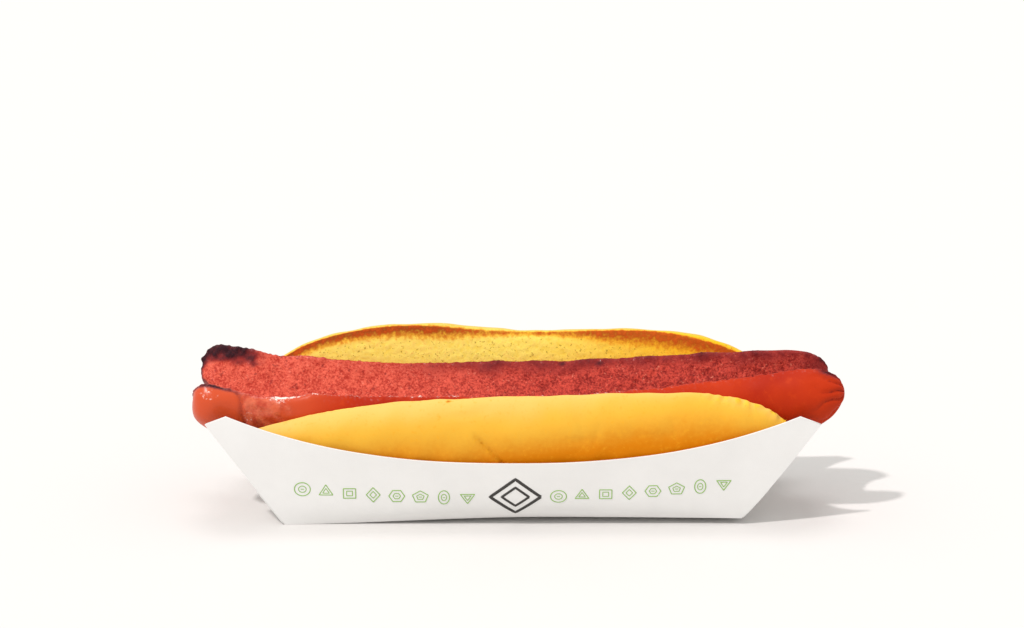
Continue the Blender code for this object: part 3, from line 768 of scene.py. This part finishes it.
# The toasted band under the back lip: deeper towards both ends, widest at the right.
both_ends = np.maximum(ramp(X, -2 * MM, -28 * MM), ramp(X, 8 * MM, 32 * MM))
far_end = ramp(X, 20 * MM, 45 * MM)
toast_from = MM * (0.9 + 1.3 * ramp(X, 35 * MM, 60 * MM))
toast_to = toast_from + MM * (3.4 + 2.8 * both_ends + 2.6 * far_end + 0.5 * broad)
toast = ramp(lip_gap, toast_from, toast_from + 0.9 * MM) * ramp(lip_gap, toast_to, toast_from + 1.5 * MM)
toast *= (1 - front_side) * (0.68 + 0.32 * both_ends)
# Painted shade: the split in the front crust is drawn darker with the toast colours.
toast += 0.35 * split
toast += front_side * swell(X, 0.7, -18.5 * MM, 0.9 * MM) * swell(lip_gap, 1.0, -1.2 * MM, 0.8 * MM)
bun = surface("bun", [bun_grid], wrap=True,
              marks={"crumb": crumb, "toast": np.clip(toast, 0, 1), "lip": lip_gap / (10 * MM) + 0.5})

bread, given, result = effect(
    "baked_bread", {"Place": "Vector", "Crumb": "Float", "Toast": "Float", "Lip": "Float"},
    {"Colour": "Color", "Roughness": "Float", "Height": "Float"})
where = given.outputs["Place"]
run = node(bread, "ShaderNodeSeparateXYZ", {0: where}).outputs[0]
patch = grain(bread, where, 16 * MM, 3.0, 0.5)
pore = grain(bread, where, 1.3 * MM, 3.0, 0.6)
dust = grain(bread, where, 0.8 * MM, 2.0, 0.6, 4.0)
far_right = between(bread, run, -10 * MM, 60 * MM)
wave = maths(bread, "MULTIPLY_ADD", maths(bread, "SUBTRACT", patch, 0.5), 0.9, given.outputs["Lip"])
wave = maths(bread, "MULTIPLY_ADD", maths(bread, "SUBTRACT", pore, 0.5), 0.35, wave)
wave = maths(bread, "MULTIPLY_ADD", far_right, -0.5, wave)
wave = maths(bread, "SUBTRACT", wave, 0.1)
crust = blend(bread, between(bread, wave, -1.75, -0.55), (0.66, 0.200, 0.001, 1), (0.78, 0.425, 0.042, 1))
crust = blend(bread, between(bread, wave, -0.7, 0.4), crust, (0.79, 0.490, 0.120, 1))
pale = blend(bread, between(bread, pore, 0.25, 0.75), (0.88, 0.66, 0.095, 1), (0.94, 0.79, 0.185, 1))
golden = blend(bread, between(bread, pore, 0.25, 0.75), (0.84, 0.46, 0.012, 1), (0.93, 0.59, 0.035, 1))
pale = blend(bread, far_right, pale, golden)
pale = blend(bread, between(bread, dust, 0.60, 0.68, 0.0, 0.75), pale, (0.34, 0.22, 0.02, 1))
colour = blend(bread, given.outputs["Crumb"], crust, pale)
brown = blend(bread, between(bread, pore, 0.3, 0.7), (0.17, 0.019, 0.003, 1), (0.46, 0.072, 0.006, 1))
brown = blend(bread, maths(bread, "MULTIPLY", far_right, 0.4), brown, (0.62, 0.120, 0.008, 1))
seared = maths(bread, "MULTIPLY_ADD", maths(bread, "SUBTRACT", pore, 0.5), 1.4, given.outputs["Toast"])
colour = blend(bread, between(bread, seared, 0.0, 0.55, 0.0, 0.8), colour, (0.80, 0.34, 0.012, 1))
colour = blend(bread, between(bread, seared, 0.25, 1.0), colour, brown)
bread.links.new(colour, result.inputs["Colour"])
bread.links.new(maths(bread, "MULTIPLY_ADD", given.outputs["Crumb"], 0.25, 0.5), result.inputs["Roughness"])
open_crumb = maths(bread, "MULTIPLY", given.outputs["Crumb"], pore)
height = maths(bread, "MULTIPLY_ADD", open_crumb, 0.5, maths(bread, "MULTIPLY", dust, 0.04))
bread.links.new(height, result.inputs["Height"])
bun.data.materials.append(material("soft_roll", bread, ["crumb", "toast", "lip"], bump=0.5 * MM,
                                   IOR=1.4, Specular_IOR_Level=0.1))
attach(bun, "root")
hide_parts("bun")

# ---- table, light and camera --------------------------------------------
# A plain pale table top, one hard light from the upper left front, a soft
# one overhead and an even white fill. None of this belongs to the hot dog.
TABLE_HALF = 6.0
TABLE_LEVEL = -0.02 * MM
corners = [(x * TABLE_HALF, y * TABLE_HALF, TABLE_LEVEL) for x, y in ((-1, -1), (1, -1), (1, 1), (-1, 1))]
table_mesh = bpy.data.meshes.new("table_top")
table_mesh.from_pydata(corners, [], [(0, 1, 2, 3)])
table_top = bpy.data.objects.new("table_top", table_mesh)
bpy.context.scene.collection.objects.link(table_top)
table_mesh.materials.append(material("table_paint", Base_Color=(0.678, 0.662, 0.646, 1.0), Roughness=0.9,
                                     Specular_IOR_Level=0.0))

sun = bpy.data.lights.new("key", "SUN")
sun.energy = 1.95
sun.angle = math.radians(3.0)
sun.color = (1.0, 0.95, 0.94)
key = bpy.data.objects.new("key", sun)
travel = np.array([0.53, 0.46, -1.0])
key.rotation_euler = (math.atan2(math.hypot(travel[0], travel[1]), -travel[2]), 0.0,
                      math.atan2(travel[1], travel[0]) - math.pi / 2)
bpy.context.scene.collection.objects.link(key)

overhead = bpy.data.lights.new("overhead", "SUN")
overhead.energy = 0.6
overhead.angle = math.radians(24.0)
top_light = bpy.data.objects.new("overhead", overhead)
top_light.rotation_euler = (math.radians(-14.0), 0.0, 0.0)
bpy.context.scene.collection.objects.link(top_light)

sky = bpy.data.worlds.new("fill")
sky.use_nodes = True
sky.node_tree.nodes["Background"].inputs["Color"].default_value = (1.0, 1.0, 0.985, 1.0)
sky.node_tree.nodes["Background"].inputs["Strength"].default_value = 0.86
bpy.context.scene.world = sky

elevation = math.radians(17.5)
distance = 0.95
aim_height = 26 * MM
camera = bpy.data.cameras.new("camera")
camera.lens = 113.6
camera.sensor_width = 36.0
camera.shift_x = -0.00098
camera.shift_y = 0.09922
viewer = bpy.data.objects.new("camera", camera)
viewer.location = (0.0, -distance * math.cos(elevation), aim_height + distance * math.sin(elevation))
viewer.rotation_euler = (math.pi / 2 - elevation, 0.0, 0.0)
bpy.context.scene.collection.objects.link(viewer)
bpy.context.scene.camera = viewer
bpy.context.scene.view_settings.view_transform = "Standard"
